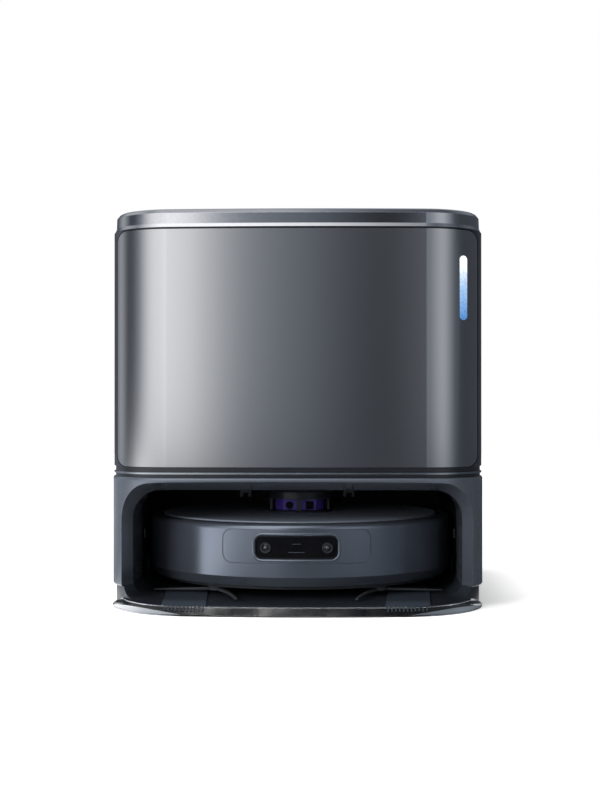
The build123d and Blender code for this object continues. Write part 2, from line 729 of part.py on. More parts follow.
def robot_fan():
    return post(-50, -66, (CHASSIS_Z[1], 60), 20) + post(-50, -66, (60, 68), 13)


def wheel_arm(side):
    """Gearbox that swings on its pivot pin and carries the wheel's axle."""
    body = rod(ARM_X, PIVOT_Y, PIVOT_Z, 8) + rod(ARM_X, ROBOT_Y, WHEEL_Z, 18)
    body = body + block(ARM_X, (PIVOT_Y, ROBOT_Y), (PIVOT_Z - 7, WHEEL_Z + 10))
    pivot = rod((ARM_X[0] - 4, ARM_X[1] + 4), PIVOT_Y, PIVOT_Z, PIN_R)
    axle = rod((ARM_X[1] - 1, ARM_X[1] + 22), ROBOT_Y, WHEEL_Z, WHEEL_AXLE_R)
    arm = body + pivot + axle
    return arm if side > 0 else mirror(arm, Plane.YZ)


def wheel_span(side):
    edges = (side * (WHEEL_X - WHEEL_WIDTH / 2), side * (WHEEL_X + WHEEL_WIDTH / 2))
    return min(edges), max(edges)


def drive_wheel(side):
    """Spoked hub inside the tyre."""
    span = wheel_span(side)
    hub = rod(span, ROBOT_Y, WHEEL_Z, WHEEL_R - 5)
    bore = rod((span[0] - 1, span[1] - 2), ROBOT_Y, WHEEL_Z, WHEEL_AXLE_R + RUN_GAP)
    if side < 0:
        bore = rod((span[0] + 2, span[1] + 1), ROBOT_Y, WHEEL_Z, WHEEL_AXLE_R + RUN_GAP)
    holes = []
    for step in range(5):
        angle = math.radians(72 * step)
        y = ROBOT_Y + 16 * math.cos(angle)
        z = WHEEL_Z + 16 * math.sin(angle)
        holes.append(rod((span[0] - 1, span[1] + 1), y, z, 5.5))
    return hub - bore - holes


def drive_tyre(side):
    """Rubber tyre with cross grooves."""
    span = wheel_span(side)
    bore = rod((span[0] - 1, span[1] + 1), ROBOT_Y, WHEEL_Z, WHEEL_R - 5)
    tyre = rod(span, ROBOT_Y, WHEEL_Z, WHEEL_R) - bore
    grooves = []
    for step in range(24):
        groove = Pos(0, 0, WHEEL_R) * Box(WHEEL_WIDTH + 2, 3, 3)
        grooves.append(Pos(side * WHEEL_X, ROBOT_Y, WHEEL_Z) * Rot(15 * step + 7.5, 0, 0) * groove)
    return tyre - grooves


def caster_fork():
    body = post(0, CASTER_Y, (35.5, 39.4), 18) + post(0, CASTER_Y, (39.3, 47), CASTER_STEM_R)
    cheek = block((6, 8.6), (CASTER_Y - 6, CASTER_Y + 6), (CASTER_Z, 36)) + rod((6, 8.6), CASTER_Y, CASTER_Z, 6)
    return body + mirrored(cheek) + rod((-8.6, 8.6), CASTER_Y, CASTER_Z, CASTER_AXLE_R)


def caster_wheel():
    wheel = rod((-5.4, 5.4), CASTER_Y, CASTER_Z, CASTER_R)
    wheel = fillet(wheel.edges(), 1.5)
    return wheel - rod((-7, 7), CASTER_Y, CASTER_Z, CASTER_AXLE_R + RUN_GAP)


def sweep_arm():
    """One slender rubber arm that droops towards its tip, along +X from the hub."""
    stations = ((7, 0, 14.6, 6.0, 3.4), (38, 2.5, 13.6, 4.2, 2.4), (SWEEP_R, 0, 12.0, 3.0, 1.5))
    faces = []
    for x, y, z, width, height in stations:
        section = RectangleRounded(width, height, height * 0.3)
        faces.append((Plane((x, y, z), x_dir=(0, 1, 0), z_dir=(1, 0, 0)) * section).face())
    return loft(faces)


def side_brush(side):
    """Hub with three sweeping arms; one arm points forwards past the bumper."""
    hub = Cylinder(10, 5.6)
    hub = fillet(hub.edges().group_by(Axis.Z)[0], 1.5)
    body = Pos(0, 0, 15.7) * hub + Pos(0, 0, 25) * Cylinder(SWEEP_SHAFT_R, 18)
    for step in range(3):
        body = body + Rot(0, 0, 120 * step) * sweep_arm()
    placed = Pos(-SWEEP_X, SWEEP_Y, 0) * Rot(0, 0, SWEEP_REST_DEG) * body
    return placed if side < 0 else mirror(placed, Plane.YZ)


def main_brush():
    """Rubber roller with six fins on a core and two stub shafts."""
    span = (-BRUSH_HALF, BRUSH_HALF)
    roller = rod(span, BRUSH_Y, BRUSH_Z, BRUSH_CORE_R) + rod((-73.5, 73.5), BRUSH_Y, BRUSH_Z, PIN_R)
    fin = Pos(0, 0, 15.4) * Box(2 * BRUSH_HALF, 2.4, 7)
    for step in range(6):
        roller = roller + Pos(0, BRUSH_Y, BRUSH_Z) * Rot(60 * step, 0, 0) * fin
    return roller


def mop_disc(side):
    return post(side * MOP_X, MOP_Y, (15.2, 18.6), 57) + post(side * MOP_X, MOP_Y, (18.5, 33), MOP_SHAFT_R)


def mop_pad(side):
    """Soft pad, as a plain rounded disc."""
    pad = post(side * MOP_X, MOP_Y, (11.3, 15.2), MOP_PAD_R)
    return fillet(pad.edges(), 1.2)


SINGLE_NODES = [
    base_frame, rubber_feet, ramp_tray, tray_insert, wheel_ramps, wash_board, lower_shell, bay_liner,
    charging_contacts, mid_deck, groove_trim, upper_shell, lid_hinge_pins, top_lid, front_panel, light_bar,
    back_cover, cover_screws, mains_inlet, tank_caps, dust_bag, dust_bag_collar,
    suction_motor, water_pump, control_board, bumper, camera_plate, camera_frame, camera_window,
    camera_lenses, rear_shell, robot_chassis, top_cover, lidar_turret, lidar_rotor, lidar_eyes, battery,
    dust_bin, robot_fan, caster_fork, caster_wheel, main_brush,
]
PAIRED_NODES = [
    guide_roller, wheel_arm, drive_wheel, drive_tyre, side_brush, mop_disc, mop_pad,
]


def nodes():
    """Every piece by its name."""
    pieces = {make.__name__: make() for make in SINGLE_NODES}
    for make in PAIRED_NODES:
        pieces["left_" + make.__name__] = make(-1)
        pieces["right_" + make.__name__] = make(1)
    pieces["clean_water_tank"] = water_tank(-1)
    pieces["dirty_water_tank"] = water_tank(1)
    pieces["power_button"] = top_button(-1)
    pieces["home_button"] = top_button(1)
    return pieces


os.makedirs("parts", exist_ok=True)
for name, piece in nodes().items():
    export_step(piece, f"parts/{name}.step")
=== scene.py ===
import json
import math

import bmesh
import bpy
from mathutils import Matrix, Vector


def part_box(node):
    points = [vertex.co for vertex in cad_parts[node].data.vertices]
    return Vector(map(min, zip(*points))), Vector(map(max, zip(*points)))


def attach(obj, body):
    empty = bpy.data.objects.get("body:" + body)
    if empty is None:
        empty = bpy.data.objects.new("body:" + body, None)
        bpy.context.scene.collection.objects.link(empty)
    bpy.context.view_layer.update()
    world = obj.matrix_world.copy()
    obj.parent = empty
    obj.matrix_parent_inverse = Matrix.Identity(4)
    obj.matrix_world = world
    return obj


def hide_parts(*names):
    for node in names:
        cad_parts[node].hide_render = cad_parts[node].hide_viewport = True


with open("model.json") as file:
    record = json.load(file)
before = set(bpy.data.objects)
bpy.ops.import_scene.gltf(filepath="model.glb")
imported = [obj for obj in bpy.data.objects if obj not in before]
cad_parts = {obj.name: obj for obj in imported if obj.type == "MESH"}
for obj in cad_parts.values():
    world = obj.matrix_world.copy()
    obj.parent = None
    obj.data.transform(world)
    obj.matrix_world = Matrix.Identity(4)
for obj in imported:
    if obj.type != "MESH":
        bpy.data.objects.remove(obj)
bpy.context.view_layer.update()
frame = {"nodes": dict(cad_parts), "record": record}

NODES = frame["nodes"]
MM = 0.001

# Camera: level, slightly right of the middle, as in the photograph
IMAGE_HEIGHT_PX = 800
FOCAL_PX = 1420
SENSOR_MM = 36.0
CAMERA_AT = (0.035, -1.660, 0.217)
CAMERA_YAW_DEG = 1.19
CAMERA_PITCH_DEG = 0.16

# Robot's round front and its camera, in metres
ROBOT_R = 0.175
ROBOT_Y = 0.015
CAMERA_Z = 0.065
# Lip round the camera: width, height and corner, then the bead's radius, depth and spacing of points
LIP_SIZE = (0.092, 0.028, 0.009)
LIP_RADIUS = 0.0018
LIP_SINK = 0.0013
LIP_STEP = 0.004
# Lenses: place, and profiles of (radius, height) in millimetres
LENS_X = 0.0333
LENS_Z = 0.0643
LENS_SINK = 0.0017
LENS_RING = [
    (5.8, -2.2), (5.8, 0.1), (5.5, 0.4), (4.9, 0.45), (4.6, 0.2), (4.4, -0.4), (3.7, -0.7), (3.6, -1.6),
]
LENS_GLASS = [(3.6, -1.1), (3.1, -0.9), (2.7, -0.3), (2.3, 0.4), (1.7, 1.0), (0.9, 1.35), (0.0, 1.45)]
# Short light marks on the camera's window: half length and height above the floor of each
WINDOW_MARKS = [(0.0047, 0.0686), (0.0088, 0.0598)]
MARK_HALF_HEIGHT = 0.00025
# How far behind the bumper's face a mark's back and front lie
MARK_BACK, MARK_FRONT = 0.0031, 0.0029
MARK_STEPS = 8

# Painted highlight: a bright metal stripe along the trim's bead below the panel, as a share of the trim's
# height
BEAD_HIGHLIGHT_FROM, BEAD_HIGHLIGHT_TO = 0.31, 0.48

# Soft dust bag: share of its solid that it starts from, mesh size and reach of its swelling in metres, cloth
BAG_START = 0.88
BAG_VOXEL = 0.005
BAG_CAP = 0.016
BAG_FRAMES = 20
BAG_PRESSURE = 4.0
BAG_MASS = 0.2
# Creases of the bag: height in metres, and radians of the waves over half its height and half its width
CREASE_HEIGHT = 0.0012
CREASES_UP, CREASES_ACROSS = 46, 5

# Mop pads: rings of (share of the radius, share of the thickness from the top)
PAD_COLUMNS = 180
PAD_CENTRE = 0.02
PAD_SIDE = [(PAD_CENTRE, 0.0), (0.97, 0.0), (1.0, 0.25), (1.0, 0.7), (0.975, 1.0)]
PAD_SEAM = [(0.955, 0.98), (0.945, 0.8)]
PILE_OUTER, PILE_STEP, PILE_RINGS = 0.93, 0.022, 41
PILE_INNER = 0.03
PILE_LOW, PILE_HIGH = 0.84, 1.0
# Loops of the pile: waves round the pad, twist from ring to ring, height and clearance
PILE_WAVES, PILE_TWIST, PILE_WAVE, PILE_CLEARANCE = 45, 40, 0.06, 0.03

# Finishes: how many times a metre the tone and the gloss drift, and the relief of a mould's grain
DRIFT_SCALE = 9.0
DULL_SCALE = 26.0
GRAIN_HEIGHT_MM = 0.01
LINE_HEIGHT_MM = 0.004

# Studio
FLOOR_SIZE = 9.0
FLOOR_LIFT = 0.42
WORLD_LIGHT = 0.2
DOME_RADIUS = 2.6
DOME_SEGMENTS = 96
APRON_RADIUS = 0.24
APRON_Z = 0.0005
# Brightness of the studio by bearing from the front, positive to the right
WALL_TONES = [
    (-180, 0.12), (-140, 0.12), (-112, 0.6), (-91, 0.1), (-78, 0.14), (-66, 0.36), (-54, 0.9), (-45, 1.28),
    (-35, 1.45), (-26, 1.5), (-20, 1.68), (-16, 1.95), (-14, 1.6), (-12.5, 1.0), (-10.8, 0.65), (-9, 0.45),
    (-7, 0.33), (-4, 0.27), (0, 0.22), (3, 0.14), (9, 0.02), (12.5, 0.01), (14.5, 0.32), (22, 0.42),
    (31, 0.6), (40, 0.75), (47, 0.68), (58, 0.36), (67, 0.14), (80, 0.09), (140, 0.1), (180, 0.12),
]
SKY_TONES = [
    (-180, 0.5), (-110, 0.7), (-85, 0.4), (-65, 1.2), (-40, 2.0), (-14, 2.0), (0, 1.5), (12, 0.8),
    (25, 0.35), (40, 0.2), (60, 0.3), (90, 0.1), (130, 0.3), (180, 0.5),
]
TOP_TONES = [(-180, 0.5), (-60, 0.8), (-14, 0.7), (12, 0.4), (40, 0.15), (90, 0.15), (180, 0.5)]
FLOOR_TONES = [
    (-180, 0.6), (-150, 0.5), (-110, 0.35), (-97, 0.4), (-80, 1.2), (-70, 2.2), (-60, 2.2), (-50, 1.3),
    (-40, 0.6), (-25, 0.2), (-10, 0.1), (0, 0.08), (25, 0.08), (45, 0.2), (60, 0.15), (75, 0.08),
    (180, 0.05),
]
# Heights between which each field takes over from the walls
STUDIO_FIELDS = [(SKY_TONES, 1.25, 1.7), (TOP_TONES, 2.3, 2.5), (FLOOR_TONES, 0.03, 0.01)]
# Dim parts of the studio are bluer than its bright parts
DIM_TINT = (0.87, 1.0, 1.2)
FULL_TONE = 0.9


def smooth(obj, angle_deg=24):
    """Smooth shading with the hard edges kept."""
    obj.data.shade_smooth()
    obj.data.set_sharp_from_angle(angle=math.radians(angle_deg))


def new_material(name):
    """A material with its node tree and shader."""
    mat = bpy.data.materials.new(name)
    mat.use_nodes = True
    tree = mat.node_tree
    shader = tree.nodes["Principled BSDF"]
    return mat, tree, shader


def noise(tree, scale, detail=3.0, stretch=(1, 1, 1)):
    """Noise in metres of the object's own space."""
    place = tree.nodes.new("ShaderNodeTexCoord")
    mapping = tree.nodes.new("ShaderNodeMapping")
    mapping.inputs["Scale"].default_value = stretch
    tree.links.new(place.outputs["Object"], mapping.inputs["Vector"])
    texture = tree.nodes.new("ShaderNodeTexNoise")
    texture.inputs["Scale"].default_value = scale
    texture.inputs["Detail"].default_value = detail
    tree.links.new(mapping.outputs["Vector"], texture.inputs["Vector"])
    return texture.outputs["Fac"]


def spread(tree, value, low, high):
    """Map the middle of a noise to a range."""
    ranger = tree.nodes.new("ShaderNodeMapRange")
    ranger.inputs["From Min"].default_value = 0.3
    ranger.inputs["From Max"].default_value = 0.7
    ranger.inputs["To Min"].default_value = low
    ranger.inputs["To Max"].default_value = high
    tree.links.new(value, ranger.inputs["Value"])
    return ranger.outputs["Result"]


def tinted(tree, value, color, change):
    """A colour that drifts a little darker and lighter over the surface."""
    mixer = tree.nodes.new("ShaderNodeMix")
    mixer.data_type = "RGBA"
    mixer.inputs["A"].default_value = (*[c * (1 - change) for c in color], 1)
    mixer.inputs["B"].default_value = (*[min(1, c * (1 + change)) for c in color], 1)
    tree.links.new(spread(tree, value, 0, 1), mixer.inputs["Factor"])
    return mixer.outputs["Result"]


def bump(tree, shader, value, height_mm, strength, edge_mm=0.5):
    """Fine relief, with the piece's edges softened a little."""
    node = tree.nodes.new("ShaderNodeBump")
    if edge_mm:
        edge = tree.nodes.new("ShaderNodeBevel")
        edge.samples = 4
        edge.inputs["Radius"].default_value = edge_mm * MM
        tree.links.new(edge.outputs["Normal"], node.inputs["Normal"])
    node.inputs["Strength"].default_value = strength
    node.inputs["Distance"].default_value = height_mm * MM
    tree.links.new(value, node.inputs["Height"])
    tree.links.new(node.outputs["Normal"], shader.inputs["Normal"])


def plastic(name, color, rough, coat=0.0, change=0.05, uneven=0.12, grain_mm=0.35, grain=0.12,
            edge_mm=0.5, flake=0.0, gloss=0.5):
    """Moulded plastic: slow drift of tone, uneven gloss and a fine mould grain."""
    mat, tree, shader = new_material(name)
    tree.links.new(tinted(tree, noise(tree, DRIFT_SCALE), color, change), shader.inputs["Base Color"])
    dull = spread(tree, noise(tree, DULL_SCALE), rough * (1 - uneven), rough * (1 + uneven))
    tree.links.new(dull, shader.inputs["Roughness"])
    shader.inputs["Metallic"].default_value = flake
    shader.inputs["Specular IOR Level"].default_value = gloss
    shader.inputs["Coat Weight"].default_value = coat
    shader.inputs["Coat Roughness"].default_value = 0.06
    bump(tree, shader, noise(tree, 1000 / grain_mm, 2.0), GRAIN_HEIGHT_MM, grain, edge_mm)
    return mat


def metal(name, color, rough, stretch, lines_mm, strength=0.1, change=0.05, edge_mm=0.5):
    """Brushed metal: fine lines drawn out along one axis."""
    mat, tree, shader = new_material(name)
    shader.inputs["Metallic"].default_value = 1.0
    lines = noise(tree, 1000 / lines_mm, 4.0, stretch)
    tree.links.new(tinted(tree, lines, color, change), shader.inputs["Base Color"])
    dull = spread(tree, lines, rough * (1 - change), rough * (1 + change))
    tree.links.new(dull, shader.inputs["Roughness"])
    bump(tree, shader, lines, LINE_HEIGHT_MM, strength, edge_mm)
    return mat


def clear_plastic():
    """Clear moulded plastic with a grey cast and a few cloudy patches."""
    mat, tree, shader = new_material("clear_plastic")
    tree.links.new(tinted(tree, noise(tree, 20.0), (0.8, 0.82, 0.85), 0.03), shader.inputs["Base Color"])
    tree.links.new(spread(tree, noise(tree, 40.0), 0.06, 0.16), shader.inputs["Roughness"])
    shader.inputs["Transmission Weight"].default_value = 1.0
    shader.inputs["IOR"].default_value = 1.49
    bump(tree, shader, noise(tree, 900.0), 0.02, 0.1)
    return mat


def tank_plastic():
    """Smoky plastic of the water tanks, half clear."""
    mat, tree, shader = new_material("tank_plastic")
    tree.links.new(tinted(tree, noise(tree, 12.0), (0.34, 0.38, 0.44), 0.05), shader.inputs["Base Color"])
    tree.links.new(spread(tree, noise(tree, 60.0), 0.18, 0.3), shader.inputs["Roughness"])
    shader.inputs["Transmission Weight"].default_value = 0.6
    bump(tree, shader, noise(tree, 700.0), 0.02, 0.15)
    return mat


def ramp(tree, value, stops):
    """Colours along a value."""
    node = tree.nodes.new("ShaderNodeValToRGB")
    points = node.color_ramp.elements
    points[0].position, points[0].color = stops[0][0], (*stops[0][1], 1)
    points[1].position, points[1].color = stops[-1][0], (*stops[-1][1], 1)
    for at, color in stops[1:-1]:
        points.new(at).color = (*color, 1)
    tree.links.new(value, node.inputs["Fac"])
    return node.outputs["Color"]


def axis_value(tree, axis, low, high):
    """0 to 1 along one axis of the object's own space."""
    place = tree.nodes.new("ShaderNodeTexCoord")
    split = tree.nodes.new("ShaderNodeSeparateXYZ")
    tree.links.new(place.outputs["Object"], split.inputs["Vector"])
    ranger = tree.nodes.new("ShaderNodeMapRange")
    ranger.inputs["From Min"].default_value = low
    ranger.inputs["From Max"].default_value = high
    tree.links.new(split.outputs[axis], ranger.inputs["Value"])
    return ranger.outputs["Result"]


def lit_bar():
    """Light bar: white at the top, deep blue at the bottom, with drifting bubbles."""
    mat, tree, shader = new_material("bar_light")
    low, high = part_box("light_bar")
    along = axis_value(tree, "Z", low.z, high.z)
    glow = ramp(tree, along, [
        (0.0, (0.06, 0.18, 0.4)), (0.2, (0.14, 0.28, 0.52)), (0.5, (0.28, 0.42, 0.62)),
        (0.68, (0.48, 0.57, 0.68)), (0.86, (0.8, 0.84, 0.89)), (1.0, (0.95, 0.97, 0.99)),
    ])
    cells = tree.nodes.new("ShaderNodeTexVoronoi")
    cells.inputs["Scale"].default_value = 420.0
    place = tree.nodes.new("ShaderNodeTexCoord")
    tree.links.new(place.outputs["Object"], cells.inputs["Vector"])
    bubble = ramp(tree, cells.outputs["Distance"], [
        (0.0, (1.25, 1.2, 1.15)), (0.4, (1, 1, 1)), (0.9, (0.7, 0.75, 0.85)),
    ])
    mixer = tree.nodes.new("ShaderNodeMix")
    mixer.data_type = "RGBA"
    mixer.blend_type = "MULTIPLY"
    mixer.inputs["Factor"].default_value = 0.8
    tree.links.new(glow, mixer.inputs["A"])
    tree.links.new(bubble, mixer.inputs["B"])
    tree.links.new(mixer.outputs["Result"], shader.inputs["Emission Color"])
    tree.links.new(mixer.outputs["Result"], shader.inputs["Base Color"])
    shader.inputs["Emission Strength"].default_value = 0.85
    shader.inputs["Roughness"].default_value = 0.15
    return mat


def trim_with_painted_shade_and_highlight():
    """Trim below the panel: near-black gloss, darker than the shell, which stands in for the shade of the
    recessed groove, with a bright metal stripe painted along the bead as its highlight.
    """
    mat, tree, shader = new_material("trim_dark")
    low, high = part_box("groove_trim")
    share = axis_value(tree, "Z", low.z, high.z)
    # Painted light: the dark colour stands in for the recessed groove's shade, the bright metal stripe for
    # the bead's highlight
    dark, bright = (0.011, 0.013, 0.017), (0.42, 0.45, 0.49)
    edges = [(0.0, 0), (BEAD_HIGHLIGHT_FROM - 0.01, 0), (BEAD_HIGHLIGHT_FROM, 1), (BEAD_HIGHLIGHT_TO, 1), (BEAD_HIGHLIGHT_TO + 0.01, 0), (1.0, 0)]
    color = ramp(tree, share, [(at, bright if lit else dark) for at, lit in edges])
    shine = ramp(tree, share, [(at, (lit,) * 3) for at, lit in edges])
    tree.links.new(color, shader.inputs["Base Color"])
    tree.links.new(shine, shader.inputs["Metallic"])
    tree.links.new(spread(tree, noise(tree, 40.0), 0.16, 0.24), shader.inputs["Roughness"])
    bump(tree, shader, noise(tree, 3000.0, 2.0), 0.004, 0.02)
    return mat


def lens_glass():
    """Bright clean glass of the two lenses."""
    mat, tree, shader = new_material("lens_glass")
    color = tinted(tree, noise(tree, 300.0), (0.006, 0.007, 0.010), 0.4)
    tree.links.new(color, shader.inputs["Base Color"])
    tree.links.new(spread(tree, noise(tree, 200.0), 0.02, 0.05), shader.inputs["Roughness"])
    shader.inputs["IOR"].default_value = 2.2
    return mat


def gloss_black():
    """Dark glass of the camera: deep, with a weak clean reflection."""
    mat, tree, shader = new_material("black_glass")
    tree.links.new(tinted(tree, noise(tree, 60.0), (0.004, 0.004, 0.005), 0.3), shader.inputs["Base Color"])
    tree.links.new(spread(tree, noise(tree, 90.0), 0.05, 0.09), shader.inputs["Roughness"])
    shader.inputs["Specular IOR Level"].default_value = 0.16
    bump(tree, shader, noise(tree, 2000.0), 0.002, 0.02, 0.3)
    return mat


def fabric(name, color, weave_mm, height_mm):
    """Woven cloth: uneven threads with a soft sheen."""
    mat, tree, shader = new_material(name)
    threads = tinted(tree, noise(tree, 1000 / weave_mm, 5.0), color, 0.18)
    tree.links.new(threads, shader.inputs["Base Color"])
    shader.inputs["Roughness"].default_value = 0.9
    shader.inputs["Sheen Weight"].default_value = 0.3
    bump(tree, shader, noise(tree, 700 / weave_mm, 4.0), height_mm, 0.6)
    return mat


MATERIALS = {
    "slate_gloss": plastic("slate_gloss", (0.12, 0.138, 0.168), 0.22, coat=0.3, grain_mm=0.15, grain=0.01,
                           edge_mm=1.6, flake=0.5),
    "base_slate": plastic("base_slate", (0.028, 0.034, 0.044), 0.35, grain=0.05, flake=0.3),
    # deck_slate is painted light: its base colour is far lighter than the robot's slate, standing in for
    # light that the deck, shaded under the station's roof, does not get
    "deck_slate": plastic("deck_slate", (0.2, 0.23, 0.28), 0.42, grain=0.1),
    "trim_dark": trim_with_painted_shade_and_highlight(),
    "slate_satin": plastic("slate_satin", (0.17, 0.195, 0.24), 0.26, change=0.02, uneven=0.03, grain=0.01,
                           flake=0.82),
    "panel_metal": metal("panel_metal", (0.448, 0.455, 0.47), 0.2, (1, 1, 0.01), 0.12, strength=0.02,
                         change=0.03, edge_mm=0),
    "lid_gloss": metal("lid_gloss", (0.48, 0.49, 0.515), 0.14, (1, 1, 1), 3.0, strength=0.02, change=0.03),
    "shell_dark": plastic("shell_dark", (0.03, 0.035, 0.044), 0.3, coat=0.15, uneven=0.05, grain=0.01,
                          flake=0.4),
    "cover_dark": plastic("cover_dark", (0.035, 0.039, 0.047), 0.5, grain=0.35),
    "black_plastic": plastic("black_plastic", (0.006, 0.0065, 0.008), 0.5, gloss=0.2),
    "chassis_plastic": plastic("chassis_plastic", (0.014, 0.016, 0.019), 0.5, grain=0.3),
    "navy_plastic": plastic("navy_plastic", (0.010, 0.013, 0.019), 0.35),
    "ramp_rubber": plastic("ramp_rubber", (0.03, 0.038, 0.05), 0.6, grain=0.3, gloss=0.3),
    "clear_plastic": clear_plastic(),
    "tank_plastic": tank_plastic(),
    "cap_plastic": plastic("cap_plastic", (0.05, 0.058, 0.07), 0.35),
    "bar_light": lit_bar(),
    "black_glass": gloss_black(),
    "lens_glass": lens_glass(),
    "lidar_indigo": plastic("lidar_indigo", (0.07, 0.04, 0.3), 0.25, change=0.3, grain=0.02),
    "button_plastic": plastic("button_plastic", (0.06, 0.07, 0.085), 0.4),
    "roller_plastic": plastic("roller_plastic", (0.05, 0.055, 0.062), 0.3),
    "contact_metal": metal("contact_metal", (0.2, 0.19, 0.175), 0.4, (1, 0.05, 1), 0.3),
    "steel": metal("steel", (0.6, 0.6, 0.61), 0.25, (1, 1, 0.1), 0.3),
    "foot_rubber": plastic("foot_rubber", (0.012, 0.012, 0.013), 0.8, grain=0.4),
    "tyre_rubber": plastic("tyre_rubber", (0.011, 0.011, 0.012), 0.75, grain=0.4),
    "wheel_plastic": plastic("wheel_plastic", (0.08, 0.083, 0.09), 0.45),
    "brush_rubber": plastic("brush_rubber", (0.03, 0.032, 0.036), 0.6),
    "mop_plate": plastic("mop_plate", (0.12, 0.13, 0.14), 0.45),
    "mop_fabric": fabric("mop_fabric", (0.42, 0.44, 0.47), 1.6, 0.8),
    "bag_fabric": fabric("bag_fabric", (0.75, 0.74, 0.71), 0.5, 0.15),
    "motor_grey": plastic("motor_grey", (0.16, 0.17, 0.19), 0.45),
    "board_green": plastic("board_green", (0.012, 0.085, 0.04), 0.35),
}


def dress_nodes():
    """Give every carried-over piece the finish of its slot."""
    for entry in frame["record"]["subparts"]:
        obj = NODES[entry["node"]]
        smooth(obj)
        obj.data.materials.clear()
        obj.data.materials.append(MATERIALS[entry["material_slot"]])


def link(obj):
    """Put an object into the scene."""
    bpy.context.scene.collection.objects.link(obj)
    return obj


def mesh_object(name, verts, faces, mat):
    """A smooth-shaded object from points and faces."""
    mesh = bpy.data.meshes.new(name)
    mesh.from_pydata(verts, [], faces)
    mesh.update()
    mesh.materials.append(mat)
    obj = link(bpy.data.objects.new(name, mesh))
    smooth(obj)
    return obj


def grid_faces(rows, columns, closed_rows=False):
    """Quads of a grid whose columns run round; the rows may close too."""
    faces = []
    for i in range(rows if closed_rows else rows - 1):
        for j in range(columns):
            k = (j + 1) % columns
            n = (i + 1) % rows
            faces.append((i * columns + j, i * columns + k, n * columns + k, n * columns + j))
    return faces


def lathe(name, profile, mat, segments=48):
    """Turn a profile of (radius, height) points about Z; the end points may lie on the axis."""
    verts = []
    for radius, height in profile:
        for j in range(segments):
            turn = 2 * math.pi * j / segments
            verts.append((radius * math.cos(turn), radius * math.sin(turn), height))
    return mesh_object(name, verts, grid_faces(len(profile), segments), mat)


def rounded_outline(width, height, corner, step_deg=9):
    """Points round a rounded rectangle."""
    points = []
    for quarter, (sx, sy) in enumerate(((1, 1), (-1, 1), (-1, -1), (1, -1))):
        cx = sx * (width / 2 - corner)
        cy = sy * (height / 2 - corner)
        for deg in range(0, 91, step_deg):
            turn = math.radians(90 * quarter + deg)
            points.append((cx + corner * math.cos(turn), cy + corner * math.sin(turn)))
    return points


def filled_in(points, gap):
    """The same closed outline with extra points, so that none are further apart than the gap."""
    dense = []
    for i, (u, v) in enumerate(points):
        u2, v2 = points[(i + 1) % len(points)]
        parts = max(1, math.ceil(math.hypot(u2 - u, v2 - v) / gap))
        for k in range(parts):
            dense.append((u + (u2 - u) * k / parts, v + (v2 - v) * k / parts))
    return dense


def closed_tube(name, path, outward, radius, mat, sides=10):
    """Round bead along a closed path; outward gives each point's direction off the surface."""
    verts = []
    count = len(path)
    for i, point in enumerate(path):
        along = (path[(i + 1) % count] - path[i - 1]).normalized()
        up = outward[i]
        across = along.cross(up).normalized()
        for j in range(sides):
            turn = 2 * math.pi * j / sides
            verts.append(point + radius * (math.cos(turn) * up + math.sin(turn) * across))
    return mesh_object(name, verts, grid_faces(count, sides, closed_rows=True), mat)


def on_bumper(x, z, lift=0.0):
    """Point on the robot's round front and the direction away from it."""
    deep = math.sqrt(ROBOT_R**2 - x**2)
    outward = Vector((x / ROBOT_R, -deep / ROBOT_R, 0))
    return Vector((x, ROBOT_Y - deep, z)) + outward * lift, outward


def camera_lip():
    """Rounded edge of the plate's opening round the camera."""
    path, outward = [], []
    for u, v in filled_in(rounded_outline(*LIP_SIZE), LIP_STEP):
        point, away = on_bumper(u, CAMERA_Z + v, -LIP_SINK)
        path.append(point)
        outward.append(away)
    lip = closed_tube("camera_lip", path, outward, LIP_RADIUS, MATERIALS["slate_satin"])
    smooth(lip, angle_deg=60)
    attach(lip, "bumper")


def camera_eyes():
    """Stepped rings and domed glass of both lenses."""
    # The glass counts as dark glass but has a brighter finish of its own
    parts = (
        ("ring", LENS_RING, "chassis_plastic", MATERIALS["chassis_plastic"]),
        ("glass", LENS_GLASS, "black_glass", MATERIALS["lens_glass"]),
    )
    for side, label in ((-1, "left"), (1, "right")):
        place, away = on_bumper(side * LENS_X, LENS_Z, -LENS_SINK)
        for part, profile, slot_name, mat in parts:
            obj = lathe(f"{label}_lens_{part}", [(r * MM, h * MM) for r, h in profile], mat)
            obj.matrix_world = away.to_track_quat("Z", "Y").to_matrix().to_4x4()
            obj.location = place
            if part == "ring" and side < 0:
                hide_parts("camera_lenses")
            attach(obj, "robot")


def window_marks():
    """Two short printed dashes in the middle of the camera's window."""
    corners = ((-MARK_BACK, -1), (-MARK_FRONT, -1), (-MARK_FRONT, 1), (-MARK_BACK, 1))
    for name, (half, z) in zip(("upper", "lower"), WINDOW_MARKS):
        verts = []
        for i in range(MARK_STEPS + 1):
            x = half * (2 * i / MARK_STEPS - 1)
            for lift, rise in corners:
                point, _ = on_bumper(x, z + rise * MARK_HALF_HEIGHT, lift)
                verts.append(point)
        faces = grid_faces(MARK_STEPS + 1, 4)
        faces += [(3, 2, 1, 0), tuple(4 * MARK_STEPS + j for j in range(4))]
        mark = mesh_object(f"{name}_window_mark", verts, faces, MATERIALS["button_plastic"])
        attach(mark, "robot")


def swollen(obj):
    """Swell a closed mesh as pressurised cloth and return where its points end up."""
    cloth = obj.modifiers.new("cloth", "CLOTH")
    cloth.settings.quality = 6
    cloth.settings.mass = BAG_MASS
    cloth.settings.use_pressure = True
    cloth.settings.uniform_pressure_force = BAG_PRESSURE
    cloth.settings.effector_weights.gravity = 0.0
    cloth.point_cache.frame_end = BAG_FRAMES
    scene = bpy.context.scene
    for number in range(1, BAG_FRAMES + 1):
        scene.frame_set(number)
    settled = obj.evaluated_get(bpy.context.evaluated_depsgraph_get())
    points = [v.co.copy() for v in settled.data.vertices]
    obj.modifiers.remove(cloth)
    scene.frame_set(1)
    return points


